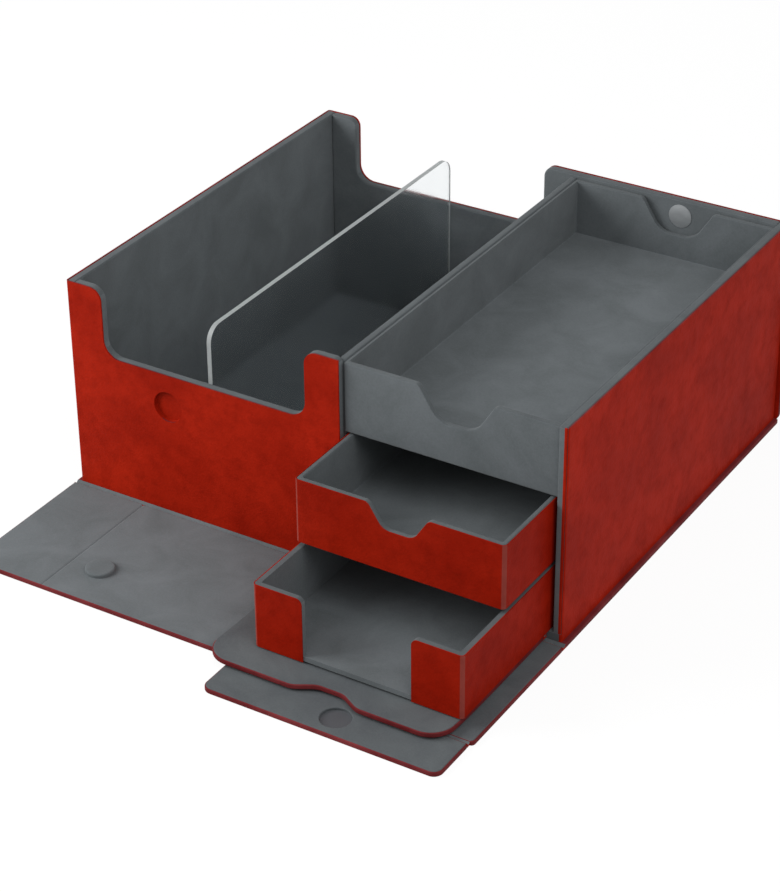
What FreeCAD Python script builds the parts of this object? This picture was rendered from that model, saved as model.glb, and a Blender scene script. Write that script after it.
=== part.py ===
import FreeCAD, Part
import math
import os

Vector = FreeCAD.Vector

# Case: outside size above the base panel, and the layers of every wall
CASE_W = 261.0
CASE_D = 224.4
CASE_H = 108.0
SKIN_T = 0.7
BOARD_T = 3.0
LINING_T = 0.9
CORNER_R = 1.4
FLOOR_BOARD_T = 3.0

# Window cut out of the front and back walls over the card bay
LEFT_POST_W = 19.5
RIGHT_POST_W = 17.8
POST_R = 6.5
BACK_POST_R = 5.0
SILL_R = 8.5
POST_END_R = 3.0

# Drawer bay on the right, with the partition that closes it off from the card bay
BAY_W = 107.6
PARTITION_BOARD_T = 1.8
PARTITION_DROP = 1.6
SHELF_T = 1.2
SHELF_GAP = 1.4

# Drawers
DRAWER_H = 32.0
DRAWER_SKIN_T = 0.5
DRAWER_BOARD_T = 1.6
DRAWER_LINING_T = 0.8
DRAWER_CORNER_R = 1.4
DRAWER_SIDE_GAP = 1.8
DRAWER_SETBACK = 2.2
DRAWER_BACK_GAP = 0.5
SLIDE_GAP = 0.2
HEAD_GAP = 1.3
UPPER_DRAWER_OUT = 40.8
LOWER_DRAWER_OUT = 74.8
DRAWER_NOTCH_W = 30.0
DRAWER_NOTCH_BASE_W = 15.0
DRAWER_NOTCH_DEPTH = 11.5
DRAWER_NOTCH_R = 6.0
DRAWER_LIP_R = 3.0
WING_W = 25.0
WING_R = 3.0

# Lift-out tray above the drawers
TRAY_DROP = 1.7
TRAY_WALL_T = 2.6
TRAY_FLOOR_T = 4.6
TRAY_SIDE_GAP = 0.5
TRAY_END_GAP = 1.0
TRAY_SETBACK = 2.7
TRAY_APRON_GAP = 0.7
TRAY_NOTCH_W = 38.0
TRAY_NOTCH_BASE_W = 18.0
TRAY_NOTCH_DEPTH = 15.8
TRAY_NOTCH_R = 10.5
TRAY_LIP_R = 2.5

# Clear divider that stands between the two rows of the card bay
DIVIDER_T = 1.2
DIVIDER_DROP = 6.9
DIVIDER_FOOT_W = 30.0
DIVIDER_END_GAP = 0.6
DIVIDER_FLOOR_GAP = 0.2
DIVIDER_TOP_R = 8.0

# Cover panels: the base, the rear panel and the flaps that lie open in front
PANEL_T = 2.6
PANEL_SKIN_T = 0.5
PANEL_LINING_T = 0.7
PANEL_RIM = 1.0
PANEL_RIM_DROP = 0.2
PANEL_EDGE_R = 0.4
PANEL_OVERHANG = 2.0
PANEL_CORNER_R = 5.0
RIGHT_FLAP_CORNER_R = 2.0
REAR_H = 72.0
HINGE_GAP = 0.8
HINGE_ROOT = 2.0
HINGE_SKIN_T = 0.6
FLAP_REACH = 80.8
FLAP_SEAM = 0.4
CREASE_X = 38.5
CREASE_W = 1.0
CREASE_DEPTH = 0.35
CREASE_MARGIN = 6.0

# Drawer door, the inner flap with a thumb notch, and the closure tongue
DOOR_W = 120.0
DOOR_RIGHT_GAP = 7.5
DOOR_SIDE_GAP = 0.2
DOOR_REACH = 90.3
DOOR_CORNER_R = 12.0
DOOR_NOTCH_OFFSET = 2.2
DOOR_NOTCH_W = 32.0
DOOR_NOTCH_BASE_W = 13.0
DOOR_NOTCH_DEPTH = 5.5
DOOR_NOTCH_R = 8.0
DOOR_LIP_R = 8.0
TONGUE_W = 117.0
TONGUE_CORNER_R = 4.5
TONGUE_RIGHT_GAP = 1.6
TONGUE_FOLD = 2.0
TONGUE_L = 24.0

# Magnets: the button on the left flap enters a recess in the front wall
BUTTON_X = 54.5
BUTTON_REACH = 56.7
BUTTON_D = 14.0
BUTTON_H = 1.8
BUTTON_EDGE_R = 0.8
BUTTON_PLAY = 0.75
BUTTON_DEPTH_PLAY = 0.4
RECESS_MARGIN = 8.25
MAGNET_D = 10.0
MAGNET_T = 1.2
TONGUE_MAGNET_D = 14.0
TONGUE_MAGNET_T = 0.7
TONGUE_MAGNET_SUNK = 1.1
TONGUE_MAGNET_INSET = 11.0
STUD_D = 12.0
STUD_T = 0.6
STUD_DROP = 8.5
CATCH_OFFSET = 3.0

# How far a cut runs past the face that it opens
CUT_PAST = 1.0

# Places worked out from the sizes above; the origin is the case's centre on the floor
WALL_T = SKIN_T + BOARD_T + LINING_T
LEFT = -CASE_W / 2
RIGHT = CASE_W / 2
FRONT = -CASE_D / 2
BACK = CASE_D / 2
CASE_Z = PANEL_T
TOP = CASE_Z + CASE_H
FLOOR_BOARD_TOP = CASE_Z + FLOOR_BOARD_T
FLOOR_Z = FLOOR_BOARD_TOP + LINING_T
INNER_LEFT = LEFT + WALL_T
INNER_RIGHT = RIGHT - WALL_T
INNER_FRONT = FRONT + WALL_T
INNER_BACK = BACK - WALL_T
BAY_LEFT = INNER_RIGHT - BAY_W
PARTITION_LEFT = BAY_LEFT - PARTITION_BOARD_T - 2 * LINING_T
BAY_MID = (BAY_LEFT + INNER_RIGHT) / 2
FRONT_WALL_END = BAY_LEFT - LINING_T
WINDOW_LEFT = LEFT + LEFT_POST_W
WINDOW_RIGHT = FRONT_WALL_END - RIGHT_POST_W
RECESS_D = BUTTON_D + 2 * BUTTON_PLAY
SILL_H = BUTTON_REACH + RECESS_D / 2 + SKIN_T + RECESS_MARGIN
SILL_Z = CASE_Z + SILL_H
LOWER_DRAWER_Z = FLOOR_Z + SLIDE_GAP
DRAWER_SHELF_Z = LOWER_DRAWER_Z + DRAWER_H + HEAD_GAP
UPPER_DRAWER_Z = DRAWER_SHELF_Z + SHELF_T + SLIDE_GAP
TRAY_SHELF_Z = UPPER_DRAWER_Z + DRAWER_H + HEAD_GAP
TRAY_Z = TRAY_SHELF_Z + SHELF_T + SLIDE_GAP
TRAY_APRON_Z = UPPER_DRAWER_Z + DRAWER_H + TRAY_APRON_GAP
TRAY_TOP = TOP - TRAY_DROP
DIVIDER_Z = FLOOR_Z + DIVIDER_FLOOR_GAP
DIVIDER_TOP = TOP - DIVIDER_DROP
HINGE_Y = FRONT - HINGE_GAP
FLAP_ROOT_Y = HINGE_Y - HINGE_ROOT
FLAP_FREE_Y = FRONT - FLAP_REACH
DOOR_RIGHT = RIGHT - DOOR_RIGHT_GAP
DOOR_LEFT = DOOR_RIGHT - DOOR_W
LEFT_FLAP_END = DOOR_LEFT - DOOR_SIDE_GAP
CATCH_X = BAY_MID + CATCH_OFFSET


def box(x0, x1, y0, y1, z0, z1):
    """Block between two corners."""
    return Part.makeBox(x1 - x0, y1 - y0, z1 - z0, Vector(x0, y0, z0))


def disc(diameter, height, centre, direction):
    """Round disc that rises from its centre along a direction."""
    return Part.makeCylinder(diameter / 2, height, centre, direction)


def plan(z):
    """Places outline points in a level plane."""
    return lambda u, v: Vector(u, v, z)


def upright(y):
    """Places outline points in a plane that faces the front."""
    return lambda u, v: Vector(u, y, v)


def rounded_wire(corners, place):
    """Closed outline through corners (u, v, radius), each rounded to its radius."""
    count = len(corners)
    edges = []
    arcs = []
    for i, (u, v, radius) in enumerate(corners):
        point = Vector(u, v, 0)
        before = Vector(*corners[i - 1][:2], 0).sub(point).normalize()
        after = Vector(*corners[(i + 1) % count][:2], 0).sub(point).normalize()
        half = before.getAngle(after) / 2
        run = radius / math.tan(half)
        bisector = before.add(after).normalize()
        middle = point + bisector * (radius / math.sin(half) - radius)
        arcs.append((point + before * run, middle, point + after * run, radius))
    for i, (start, middle, end, radius) in enumerate(arcs):
        previous_end = arcs[i - 1][2]
        if previous_end.distanceToPoint(start) > 1e-6:
            edges.append(Part.LineSegment(place(*previous_end[:2]), place(*start[:2])).toShape())
        if radius > 0:
            edges.append(Part.Arc(place(*start[:2]), place(*middle[:2]), place(*end[:2])).toShape())
    return Part.Wire(edges)


def inset(corners, distance):
    """Counter-clockwise outline drawn in by a distance, with its radii to match."""
    count = len(corners)
    result = []
    for i, (u, v, radius) in enumerate(corners):
        point = Vector(u, v, 0)
        along = point.sub(Vector(*corners[i - 1][:2], 0)).normalize()
        onward = Vector(*corners[(i + 1) % count][:2], 0).sub(point).normalize()
        normal_a = Vector(-along.y, along.x, 0)
        normal_b = Vector(-onward.y, onward.x, 0)
        moved = point + (normal_a + normal_b) * (distance / (1 + normal_a.dot(normal_b)))
        convex = along.cross(onward).z > 0
        grown = radius - distance if convex else radius + distance
        result.append((moved.x, moved.y, max(grown, 0.0) if radius > 0 else 0.0))
    return result


def slab(corners, place, thickness):
    """Flat piece of an outline, as thick as the vector given."""
    return Part.Face(rounded_wire(corners, place)).extrude(thickness)


def rectangle(x0, x1, y0, y1, radius):
    """Counter-clockwise rectangle with four equal corners."""
    return [(x0, y0, radius), (x1, y0, radius), (x1, y1, radius), (x0, y1, radius)]


def thumb_notch(middle, edge, toward, width, base_width, depth, lip_r, base_r):
    """Corners of a notch cut into an edge, in order of rising u."""
    base = edge + toward * depth
    return [
        (middle - width / 2, edge, lip_r),
        (middle - base_width / 2, base, base_r),
        (middle + base_width / 2, base, base_r),
        (middle + width / 2, edge, lip_r),
    ]


def rounded_block(corners, z0, z1, edge_r):
    """Slab with its top and bottom edges rounded."""
    block = slab(corners, plan(z0), Vector(0, 0, z1 - z0))
    rims = [edge for edge in block.Edges if abs(edge.BoundBox.ZLength) < 1e-6]
    return block.makeFillet(edge_r, rims)


def cover_panel(corners, z0, lined):
    """Board wrapped in the red cover, with the grey lining let into its upper face."""
    top = z0 + PANEL_T
    core_z = z0 + PANEL_SKIN_T
    core_top = top - (PANEL_LINING_T if lined else PANEL_SKIN_T)
    rim_z = top - (PANEL_RIM_DROP if lined else 0)
    cover = rounded_block(corners, z0, rim_z, PANEL_EDGE_R)
    core = slab(inset(corners, PANEL_SKIN_T), plan(core_z), Vector(0, 0, core_top - core_z))
    pieces = {"cover": cover.cut(core), "core": core}
    if lined:
        lining = slab(inset(corners, PANEL_RIM), plan(core_top), Vector(0, 0, PANEL_LINING_T))
        pieces["cover"] = pieces["cover"].cut(lining)
        pieces["lining"] = lining
    return pieces


def window_cutter(y0, y1, post_r):
    """The window over the card bay, with the rounded tops of its posts."""
    reach = post_r + CUT_PAST
    above = TOP + CUT_PAST
    corners = [
        (WINDOW_LEFT - reach, above, 0),
        (WINDOW_LEFT - reach, TOP, 0),
        (WINDOW_LEFT, TOP, post_r),
        (WINDOW_LEFT, SILL_Z, SILL_R),
        (WINDOW_RIGHT, SILL_Z, SILL_R),
        (WINDOW_RIGHT, TOP, post_r),
        (WINDOW_RIGHT + reach, TOP, 0),
        (WINDOW_RIGHT + reach, above, 0),
    ]
    return slab(corners, upright(y0), Vector(0, y1 - y0, 0))


def windowed_board(x0, x1, end_r, y0, post_r):
    """Wall board with the window, smaller all round by the lining that wraps its edges."""
    top = TOP - LINING_T
    sill = SILL_Z - LINING_T
    left = WINDOW_LEFT - LINING_T
    right = WINDOW_RIGHT + LINING_T
    corners = [
        (x0, CASE_Z, 0),
        (x1, CASE_Z, 0),
        (x1, top, end_r),
        (right, top, post_r - LINING_T),
        (right, sill, SILL_R + LINING_T),
        (left, sill, SILL_R + LINING_T),
        (left, top, post_r - LINING_T),
        (x0, top, 0),
    ]
    return slab(corners, upright(y0), Vector(0, BOARD_T, 0))


def side_board(outer_x, inward):
    """Left or right wall board, with its outer upright corners rounded."""
    x0, x1 = sorted((outer_x, outer_x + inward * BOARD_T))
    board = box(x0, x1, FRONT + SKIN_T, BACK - SKIN_T, CASE_Z, TOP - LINING_T)
    corners = []
    for edge in board.Edges:
        limits = edge.BoundBox
        if limits.ZLength > CASE_H / 2 and abs(limits.XMin - outer_x) < 1e-6:
            corners.append(edge)
    return board.makeFillet(CORNER_R - SKIN_T, corners)


def build_case():
    """Walls, floor, partition, shelves, outer skin and linings of the fixed case."""
    board_left = LEFT + SKIN_T
    board_right = RIGHT - SKIN_T
    between_left = board_left + BOARD_T
    between_right = board_right - BOARD_T
    front_end = FRONT_WALL_END - LINING_T
    back_y = BACK - SKIN_T - BOARD_T

    # The recess for the flap's magnet button is a dish in the skin, let into the board
    button_z = CASE_Z + BUTTON_REACH
    recess_depth = BUTTON_H - HINGE_GAP + BUTTON_DEPTH_PLAY
    recess_at = Vector(LEFT + BUTTON_X, FRONT, button_z)
    inward = Vector(0, 1, 0)
    recess = disc(RECESS_D, recess_depth, recess_at, inward)
    dish = disc(RECESS_D + 2 * SKIN_T, recess_depth + SKIN_T, recess_at, inward)
    magnet_y = FRONT + recess_depth + SKIN_T
    magnet = disc(MAGNET_D, MAGNET_T, Vector(LEFT + BUTTON_X, magnet_y, button_z), inward)

    left_wall = side_board(board_left, 1)
    right_wall = side_board(board_right, -1)
    front_wall = windowed_board(between_left, front_end, POST_END_R, FRONT + SKIN_T, POST_R)
    front_wall = front_wall.cut(dish).cut(magnet)
    back_wall = windowed_board(between_left, between_right, 0, back_y, BACK_POST_R)
    floor_board = box(between_left, between_right, FRONT + SKIN_T + BOARD_T, back_y,
                      CASE_Z, FLOOR_BOARD_TOP)
    bay_lip = box(front_end, between_right, FRONT + SKIN_T, INNER_FRONT, CASE_Z, FLOOR_BOARD_TOP)
    floor_board = floor_board.fuse(bay_lip).removeSplitter()

    partition_top = TOP - PARTITION_DROP
    partition = box(PARTITION_LEFT + LINING_T, BAY_LEFT - LINING_T, INNER_FRONT, INNER_BACK,
                    FLOOR_BOARD_TOP, partition_top - LINING_T)
    partition_lining = box(PARTITION_LEFT, BAY_LEFT, INNER_FRONT, INNER_BACK,
                           FLOOR_BOARD_TOP, partition_top)
    partition_lining = partition_lining.cut(partition)

    # Openings through the ring of walls
    front_window = window_cutter(FRONT - CUT_PAST, INNER_FRONT + CUT_PAST, POST_R)
    back_window = window_cutter(INNER_BACK - CUT_PAST, BACK + CUT_PAST, BACK_POST_R)
    ahead = FRONT - CUT_PAST
    bay_mouth = box(FRONT_WALL_END, INNER_RIGHT, ahead, INNER_FRONT, FLOOR_Z, TOP + CUT_PAST)
    bay_corner = box(FRONT_WALL_END, BAY_LEFT, ahead, INNER_FRONT, FLOOR_BOARD_TOP, FLOOR_Z)

    outline = rectangle(LEFT, RIGHT, FRONT, BACK, CORNER_R)
    outer = slab(outline, plan(CASE_Z), Vector(0, 0, CASE_H))
    within = slab(inset(outline, SKIN_T), plan(CASE_Z), Vector(0, 0, CASE_H))
    skin = outer.cut(within).cut(front_window).cut(back_window).cut(bay_mouth)
    skin = skin.fuse(dish).removeSplitter().cut(recess)

    cavity = box(INNER_LEFT, INNER_RIGHT, INNER_FRONT, INNER_BACK, CASE_Z, TOP)
    lining_band = box(LEFT, RIGHT, FRONT, BACK, FLOOR_BOARD_TOP, TOP)
    layer = within.common(lining_band).cut(cavity).cut(front_window).cut(back_window).cut(bay_mouth)
    layer = layer.cut(bay_corner).cut(dish).cut(magnet)
    for board in (left_wall, right_wall, front_wall, back_wall):
        layer = layer.cut(board)
    left_lining = layer.common(box(LEFT, INNER_LEFT, FRONT, BACK, CASE_Z, TOP))
    right_lining = layer.common(box(INNER_RIGHT, RIGHT, FRONT, BACK, CASE_Z, TOP))
    front_lining = layer.common(box(INNER_LEFT, FRONT_WALL_END, FRONT, INNER_FRONT, CASE_Z, TOP))
    back_lining = layer.common(box(INNER_LEFT, INNER_RIGHT, INNER_BACK, BACK, CASE_Z, TOP))
    card_floor = box(INNER_LEFT, PARTITION_LEFT, INNER_FRONT, INNER_BACK, FLOOR_BOARD_TOP, FLOOR_Z)
    bay_floor = box(BAY_LEFT, INNER_RIGHT, FRONT + SKIN_T, INNER_BACK, FLOOR_BOARD_TOP, FLOOR_Z)

    shelf_front = FRONT + TRAY_SETBACK + TRAY_WALL_T + SHELF_GAP
    drawer_shelf = box(BAY_LEFT, INNER_RIGHT, shelf_front, INNER_BACK,
                       DRAWER_SHELF_Z, DRAWER_SHELF_Z + SHELF_T)
    tray_shelf = box(BAY_LEFT, INNER_RIGHT, shelf_front, INNER_BACK,
                     TRAY_SHELF_Z, TRAY_SHELF_Z + SHELF_T)
    stud_at = Vector(CATCH_X, INNER_BACK, TOP - STUD_DROP)
    stud = disc(STUD_D, STUD_T, stud_at, Vector(0, -1, 0))

    return {
        "case_skin": skin,
        "left_wall": left_wall,
        "right_wall": right_wall,
        "front_wall": front_wall,
        "back_wall": back_wall,
        "floor_board": floor_board,
        "partition_wall": partition,
        "left_wall_lining": left_lining,
        "right_wall_lining": right_lining,
        "front_wall_lining": front_lining,
        "back_wall_lining": back_lining,
        "partition_lining": partition_lining,
        "card_floor_lining": card_floor,
        "bay_floor_lining": bay_floor,
        "drawer_shelf": drawer_shelf,
        "tray_shelf": tray_shelf,
        "wall_magnet": magnet,
        "back_stud": stud,
    }


def build_cover():
    """Base panel under the case and the rear panel glued to the back wall."""
    left = LEFT - PANEL_OVERHANG
    right = RIGHT + PANEL_OVERHANG
    base = cover_panel(rectangle(left, right, FRONT, BACK, 0), 0, False)
    rear = cover_panel(rectangle(left, right, 0, REAR_H, PANEL_CORNER_R), 0, False)
    for shape in rear.values():
        shape.rotate(Vector(0, 0, 0), Vector(1, 0, 0), 90)
        shape.translate(Vector(0, BACK + PANEL_T, 0))
    return {**named("base", base), **named("rear", rear)}


def hinge_strip(x0, x1, y0, y1, panel_z):
    """Leatherette that bridges the gutter between two panels."""
    z0 = panel_z + PANEL_EDGE_R
    return box(x0, x1, y0, y1, z0, z0 + HINGE_SKIN_T)


def build_left_flap():
    """Flap in front of the card bay, with its crease, magnet button and hinge."""
    x0 = LEFT - PANEL_OVERHANG
    x1 = LEFT_FLAP_END
    corners = [
        (x0, FLAP_FREE_Y, PANEL_CORNER_R),
        (x1, FLAP_FREE_Y, 0),
        (x1, FLAP_ROOT_Y, 0),
        (x0, FLAP_ROOT_Y, 0),
    ]
    pieces = cover_panel(corners, 0, True)
    crease_x = LEFT + CREASE_X
    crease = box(crease_x - CREASE_W / 2, crease_x + CREASE_W / 2, FLAP_FREE_Y + CREASE_MARGIN,
                 FLAP_ROOT_Y - CREASE_MARGIN, PANEL_T - CREASE_DEPTH, PANEL_T)
    pieces["lining"] = pieces["lining"].cut(crease)
    seat = Vector(LEFT + BUTTON_X, HINGE_Y - BUTTON_REACH, PANEL_T)
    button = disc(BUTTON_D, BUTTON_H, seat, Vector(0, 0, 1))
    rim = [edge for edge in button.Edges if edge.BoundBox.ZMin > PANEL_T + BUTTON_H / 2]
    button = button.makeFillet(BUTTON_EDGE_R, rim)
    magnet = disc(MAGNET_D, MAGNET_T, seat, Vector(0, 0, 1))
    pieces["button"] = button.cut(magnet)
    pieces["magnet"] = magnet
    pieces["hinge"] = hinge_strip(x0, x1, FLAP_ROOT_Y, FRONT, 0)
    return named("left_flap", pieces)


def build_right_flap():
    """Outer flap in front of the drawer bay, and the closure tongue folded on to its free edge."""
    x0 = LEFT_FLAP_END + FLAP_SEAM
    x1 = RIGHT + PANEL_OVERHANG
    corners = [
        (x0, FLAP_FREE_Y, 0),
        (x1, FLAP_FREE_Y, RIGHT_FLAP_CORNER_R),
        (x1, FLAP_ROOT_Y, 0),
        (x0, FLAP_ROOT_Y, 0),
    ]
    flap = cover_panel(corners, 0, True)
    flap["hinge"] = hinge_strip(x0, x1, FLAP_ROOT_Y, FRONT, 0)

    tongue_right = x1 - TONGUE_RIGHT_GAP
    tongue_left = tongue_right - TONGUE_W
    fold_y = FLAP_FREE_Y - TONGUE_FOLD
    free_y = fold_y - TONGUE_L
    corners = [
        (tongue_left, free_y, TONGUE_CORNER_R),
        (tongue_right, free_y, TONGUE_CORNER_R),
        (tongue_right, fold_y, 0),
        (tongue_left, fold_y, 0),
    ]
    tongue = cover_panel(corners, 0, True)
    magnet_top = PANEL_T - TONGUE_MAGNET_SUNK
    seat = Vector(CATCH_X, free_y + TONGUE_MAGNET_INSET, magnet_top - TONGUE_MAGNET_T)
    pocket = disc(TONGUE_MAGNET_D, PANEL_T, seat, Vector(0, 0, 1))
    tongue["core"] = tongue["core"].cut(pocket)
    tongue["lining"] = tongue["lining"].cut(pocket)
    tongue["magnet"] = disc(TONGUE_MAGNET_D, TONGUE_MAGNET_T, seat, Vector(0, 0, 1))
    tongue["hinge"] = hinge_strip(tongue_left, tongue_right, fold_y, FLAP_FREE_Y, 0)
    return {**named("right_flap", flap), **named("tongue", tongue)}


def build_drawer_door():
    """Inner flap that lies on the right flap, with a thumb notch in its free edge."""
    free_y = FRONT - DOOR_REACH
    middle = (DOOR_LEFT + DOOR_RIGHT) / 2 + DOOR_NOTCH_OFFSET
    notch = thumb_notch(middle, free_y, 1, DOOR_NOTCH_W, DOOR_NOTCH_BASE_W, DOOR_NOTCH_DEPTH,
                        DOOR_LIP_R, DOOR_NOTCH_R)
    corners = [
        (DOOR_LEFT, free_y, DOOR_CORNER_R),
        *notch,
        (DOOR_RIGHT, free_y, DOOR_CORNER_R),
        (DOOR_RIGHT, FLAP_ROOT_Y, 0),
        (DOOR_LEFT, FLAP_ROOT_Y, 0),
    ]
    pieces = cover_panel(corners, PANEL_T, True)
    pieces["hinge"] = hinge_strip(DOOR_LEFT, DOOR_RIGHT, FLAP_ROOT_Y, FRONT, PANEL_T)
    return named("drawer_door", pieces)


def build_drawer(z0, out, front_opening):
    """Drawer of boards in a red skin, lined in grey, with an opening cut from its front."""
    wall = DRAWER_SKIN_T + DRAWER_BOARD_T + DRAWER_LINING_T
    x0 = BAY_LEFT + DRAWER_SIDE_GAP
    x1 = INNER_RIGHT - DRAWER_SIDE_GAP
    y0 = FRONT - out
    y1 = y0 + INNER_BACK - DRAWER_BACK_GAP - FRONT - DRAWER_SETBACK
    top = z0 + DRAWER_H
    floor_z = z0 + DRAWER_SKIN_T
    wall_z = floor_z + DRAWER_BOARD_T
    board_top = top - DRAWER_LINING_T
    rise = Vector(0, 0, DRAWER_H)
    outline = rectangle(x0, x1, y0, y1, DRAWER_CORNER_R)
    within_outline = inset(outline, DRAWER_SKIN_T)
    outer = slab(outline, plan(z0), rise)
    within = slab(within_outline, plan(floor_z), rise)
    cavity = box(x0 + wall, x1 - wall, y0 + wall, y1 - wall, z0 + wall, top)
    opening = front_opening(x0, x1, y0, z0, wall, 0)
    board_opening = front_opening(x0, x1, y0, z0, wall, DRAWER_LINING_T)

    floor = slab(within_outline, plan(floor_z), Vector(0, 0, DRAWER_BOARD_T))
    frame = slab(within_outline, plan(wall_z), Vector(0, 0, board_top - wall_z))
    side_x = DRAWER_SKIN_T + DRAWER_BOARD_T
    left = frame.common(box(x0, x0 + side_x, y0, y1, z0, top))
    right = frame.common(box(x1 - side_x, x1, y0, y1, z0, top))
    front = box(x0 + side_x, x1 - side_x, y0 + DRAWER_SKIN_T, y0 + side_x, wall_z, board_top)
    front = front.cut(board_opening)
    back = box(x0 + side_x, x1 - side_x, y1 - side_x, y1 - DRAWER_SKIN_T, wall_z, board_top)
    lining = slab(within_outline, plan(wall_z), Vector(0, 0, top - wall_z)).cut(cavity).cut(opening)
    for board in (left, right, front, back):
        lining = lining.cut(board)
    return {
        "skin": outer.cut(within).cut(opening),
        "floor": floor,
        "sides": Part.makeCompound([left, right]),
        "front": front,
        "back": back,
        "lining": lining,
    }


def notch_opening(x0, x1, y0, z0, wall, grow):
    """Thumb notch in the upper drawer's front."""
    top = z0 + DRAWER_H
    notch = thumb_notch((x0 + x1) / 2, top, -1, DRAWER_NOTCH_W, DRAWER_NOTCH_BASE_W, DRAWER_NOTCH_DEPTH,
                        DRAWER_LIP_R, DRAWER_NOTCH_R)
    corners = [
        (x0 + wall, top + wall, 0),
        (x0 + wall, top, 0),
        *notch,
        (x1 - wall, top, 0),
        (x1 - wall, top + wall, 0),
    ]
    return slab(inset(corners, -grow), upright(y0 - wall), Vector(0, 2 * wall, 0))


def slot_opening(x0, x1, y0, z0, wall, grow):
    """Open middle of the lower drawer's front, between its two wings."""
    top = z0 + DRAWER_H
    left = x0 + WING_W
    right = x1 - WING_W
    corners = [
        (x0 + wall, top + wall, 0),
        (x0 + wall, top, 0),
        (left, top, WING_R),
        (left, z0 + wall, 0),
        (right, z0 + wall, 0),
        (right, top, WING_R),
        (x1 - wall, top, 0),
        (x1 - wall, top + wall, 0),
    ]
    return slab(inset(corners, -grow), upright(y0 - wall), Vector(0, 2 * wall, 0))


def build_tray():
    """Open tray covered in grey, with a thumb notch at each end and an apron before its shelf."""
    x0 = BAY_LEFT + TRAY_SIDE_GAP
    x1 = INNER_RIGHT - TRAY_SIDE_GAP
    y0 = FRONT + TRAY_SETBACK
    y1 = INNER_BACK - TRAY_END_GAP
    wall_z = TRAY_Z + TRAY_FLOOR_T
    top = TRAY_TOP
    notch = thumb_notch(CATCH_X, top, -1, TRAY_NOTCH_W, TRAY_NOTCH_BASE_W, TRAY_NOTCH_DEPTH,
                        TRAY_LIP_R, TRAY_NOTCH_R)
    rim = [(x1, top, 0), *reversed(notch), (x0, top, 0)]
    front = [(x0, TRAY_APRON_Z, 0), (x1, TRAY_APRON_Z, 0), *rim]
    back = [(x0, wall_z, 0), (x1, wall_z, 0), *rim]
    thickness = Vector(0, TRAY_WALL_T, 0)
    left = box(x0, x0 + TRAY_WALL_T, y0 + TRAY_WALL_T, y1 - TRAY_WALL_T, wall_z, top)
    right = box(x1 - TRAY_WALL_T, x1, y0 + TRAY_WALL_T, y1 - TRAY_WALL_T, wall_z, top)
    pieces = {
        "floor": box(x0, x1, y0 + TRAY_WALL_T, y1, TRAY_Z, wall_z),
        "front": slab(front, upright(y0), thickness),
        "back": slab(back, upright(y1 - TRAY_WALL_T), thickness),
        "sides": Part.makeCompound([left, right]),
    }
    return named("tray", pieces)


def build_divider():
    """Clear sheet with a foot bent out of it, standing between the two rows of the card bay."""
    middle = (INNER_LEFT + PARTITION_LEFT) / 2
    y0 = INNER_FRONT + DIVIDER_END_GAP
    y1 = INNER_BACK - DIVIDER_END_GAP
    z0 = DIVIDER_Z
    corners = [
        (y0, z0, 0),
        (y1, z0, 0),
        (y1, DIVIDER_TOP, DIVIDER_TOP_R),
        (y0, DIVIDER_TOP, DIVIDER_TOP_R),
    ]
    x0 = middle - DIVIDER_T / 2
    sheet = slab(corners, lambda u, v: Vector(x0, u, v), Vector(DIVIDER_T, 0, 0))
    foot = box(x0, x0 + DIVIDER_FOOT_W, y0, y1, z0, z0 + DIVIDER_T)
    return {"card_divider": sheet.fuse(foot).removeSplitter()}


def named(prefix, pieces):
    """Gives the pieces of one assembly their node names."""
    return {prefix + "_" + name: shape for name, shape in pieces.items()}


parts = {}
parts.update(build_case())
parts.update(build_cover())
parts.update(build_left_flap())
parts.update(build_right_flap())
parts.update(build_drawer_door())
parts.update(named("upper_drawer", build_drawer(UPPER_DRAWER_Z, UPPER_DRAWER_OUT, notch_opening)))
parts.update(named("lower_drawer", build_drawer(LOWER_DRAWER_Z, LOWER_DRAWER_OUT, slot_opening)))
parts.update(build_tray())
parts.update(build_divider())

os.makedirs("parts", exist_ok=True)
for node, shape in parts.items():
    print(node, len(shape.Solids), shape.isValid(), round(shape.Volume, 1))
    shape.exportStep("parts/" + node + ".step")
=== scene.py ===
import math

import bmesh
import bpy
from mathutils import Matrix, Vector


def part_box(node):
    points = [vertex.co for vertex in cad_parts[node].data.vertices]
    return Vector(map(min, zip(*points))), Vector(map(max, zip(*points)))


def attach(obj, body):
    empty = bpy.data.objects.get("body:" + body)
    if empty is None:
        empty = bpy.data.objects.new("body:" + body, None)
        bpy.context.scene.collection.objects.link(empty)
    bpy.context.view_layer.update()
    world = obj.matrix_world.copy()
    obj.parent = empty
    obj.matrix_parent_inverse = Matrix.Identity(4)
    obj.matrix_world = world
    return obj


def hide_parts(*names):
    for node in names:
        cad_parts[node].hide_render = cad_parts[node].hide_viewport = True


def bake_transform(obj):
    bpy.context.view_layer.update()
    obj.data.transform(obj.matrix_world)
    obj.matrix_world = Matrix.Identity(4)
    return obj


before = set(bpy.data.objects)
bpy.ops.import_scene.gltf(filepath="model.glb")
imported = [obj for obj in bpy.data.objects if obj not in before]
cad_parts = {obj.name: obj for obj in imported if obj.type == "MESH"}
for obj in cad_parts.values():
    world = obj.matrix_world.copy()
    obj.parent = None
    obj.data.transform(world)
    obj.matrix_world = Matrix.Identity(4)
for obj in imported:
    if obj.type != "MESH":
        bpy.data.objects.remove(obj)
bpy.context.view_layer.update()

# Sizes are in millimetres unless a comment says otherwise; MM turns them into the frame's metres
MM = 0.001
# Places closer than NEAR count as one, and corners closer than WELD_GAP are joined
NEAR = 0.02
WELD_GAP = 0.002
# Cutters reach this far beyond what they cut
OVERSHOOT = 1.0


def limits(node):
    """Lowest and highest corner of a CAD node, in millimetres."""
    low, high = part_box(node)
    return low / MM, high / MM


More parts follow.
